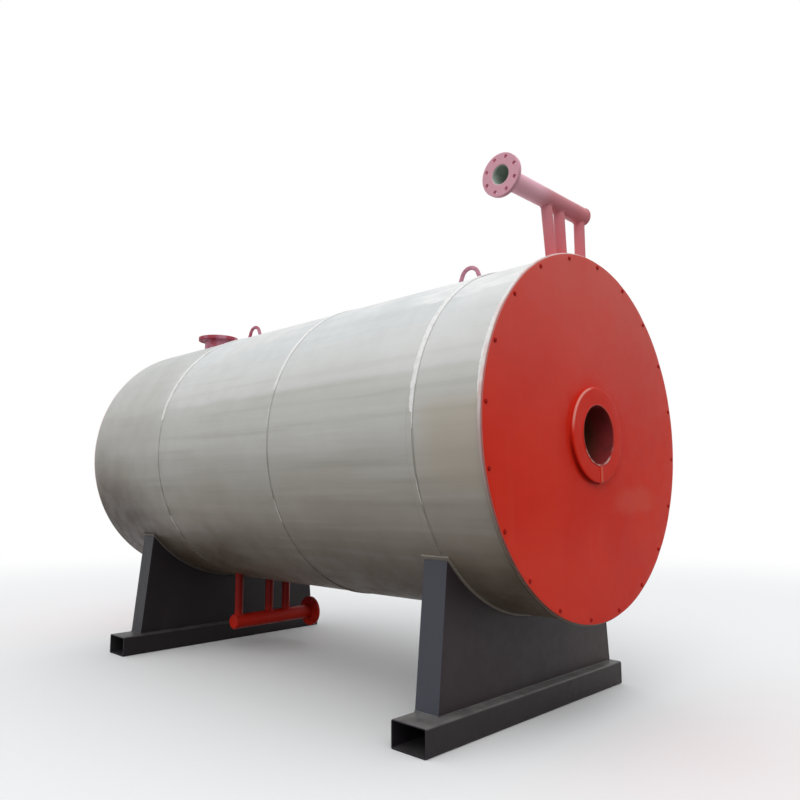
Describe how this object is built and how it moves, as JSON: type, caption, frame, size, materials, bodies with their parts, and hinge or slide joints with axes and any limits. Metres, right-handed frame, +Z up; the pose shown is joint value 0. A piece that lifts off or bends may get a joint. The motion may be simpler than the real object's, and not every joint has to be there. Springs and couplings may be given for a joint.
{
  "type": "horizontal thermal oil boiler",
  "caption": "Horizontal cylindrical oil-heating boiler on two saddles, with bolted end covers, a burner port, a flue stub and flanged oil headers above and below.",
  "frame": {"origin": "on the ground under the middle of the casing, midway between the burner sleeve's lip and the rear cover's face", "axes": "+Z up, the casing's axis along Y with the burner end at -Y, +X to the right seen from the burner end"},
  "size_m": [2.0358, 4.198, 2.9935],
  "materials": {
    "casing_paint": "satin off-white paint, weathered",
    "cover_paint": "satin red paint",
    "header_paint": "satin red paint",
    "fitting_paint": "matt maroon primer",
    "saddle_paint": "satin dark grey paint",
    "sleeve_steel": "scorched red primer",
    "coil_steel": "rusty mill scale",
    "lining_brick": "rough cast lining"
  },
  "bodies": {
    "root": {"bottom_header_cap": "header_paint", "bottom_header_flange": "header_paint", "bottom_header_pipe": "header_paint", "bottom_header_riser_1": "header_paint", "bottom_header_riser_2": "header_paint", "bottom_header_riser_3": "header_paint", "burner_ring": "cover_paint", "burner_sleeve": "sleeve_steel", "casing_course_1": "casing_paint", "casing_course_2": "casing_paint", "casing_course_3": "casing_paint", "casing_course_4": "casing_paint", "coil_wall": "coil_steel", "flue_flange": "fitting_paint", "flue_neck": "fitting_paint", "front_angle_ring": "casing_paint", "front_cover": "cover_paint", "front_lining": "lining_brick", "front_saddle_beam": "saddle_paint", "front_saddle_cradle": "saddle_paint", "front_saddle_front_web": "saddle_paint", "front_saddle_left_end": "saddle_paint", "front_saddle_rear_web": "saddle_paint", "front_saddle_right_end": "saddle_paint", "lifting_eye_front": "fitting_paint", "lifting_eye_rear": "fitting_paint", "rear_angle_ring": "casing_paint", "rear_cover": "cover_paint", "rear_lining": "lining_brick", "rear_saddle_beam": "saddle_paint", "rear_saddle_cradle": "saddle_paint", "rear_saddle_front_web": "saddle_paint", "rear_saddle_left_end": "saddle_paint", "rear_saddle_rear_web": "saddle_paint", "rear_saddle_right_end": "saddle_paint", "top_header_cap": "header_paint", "top_header_flange": "header_paint", "top_header_pipe": "header_paint", "top_header_riser_1": "header_paint", "top_header_riser_2": "header_paint", "top_header_riser_3": "header_paint"}
  },
  "joints": []
}
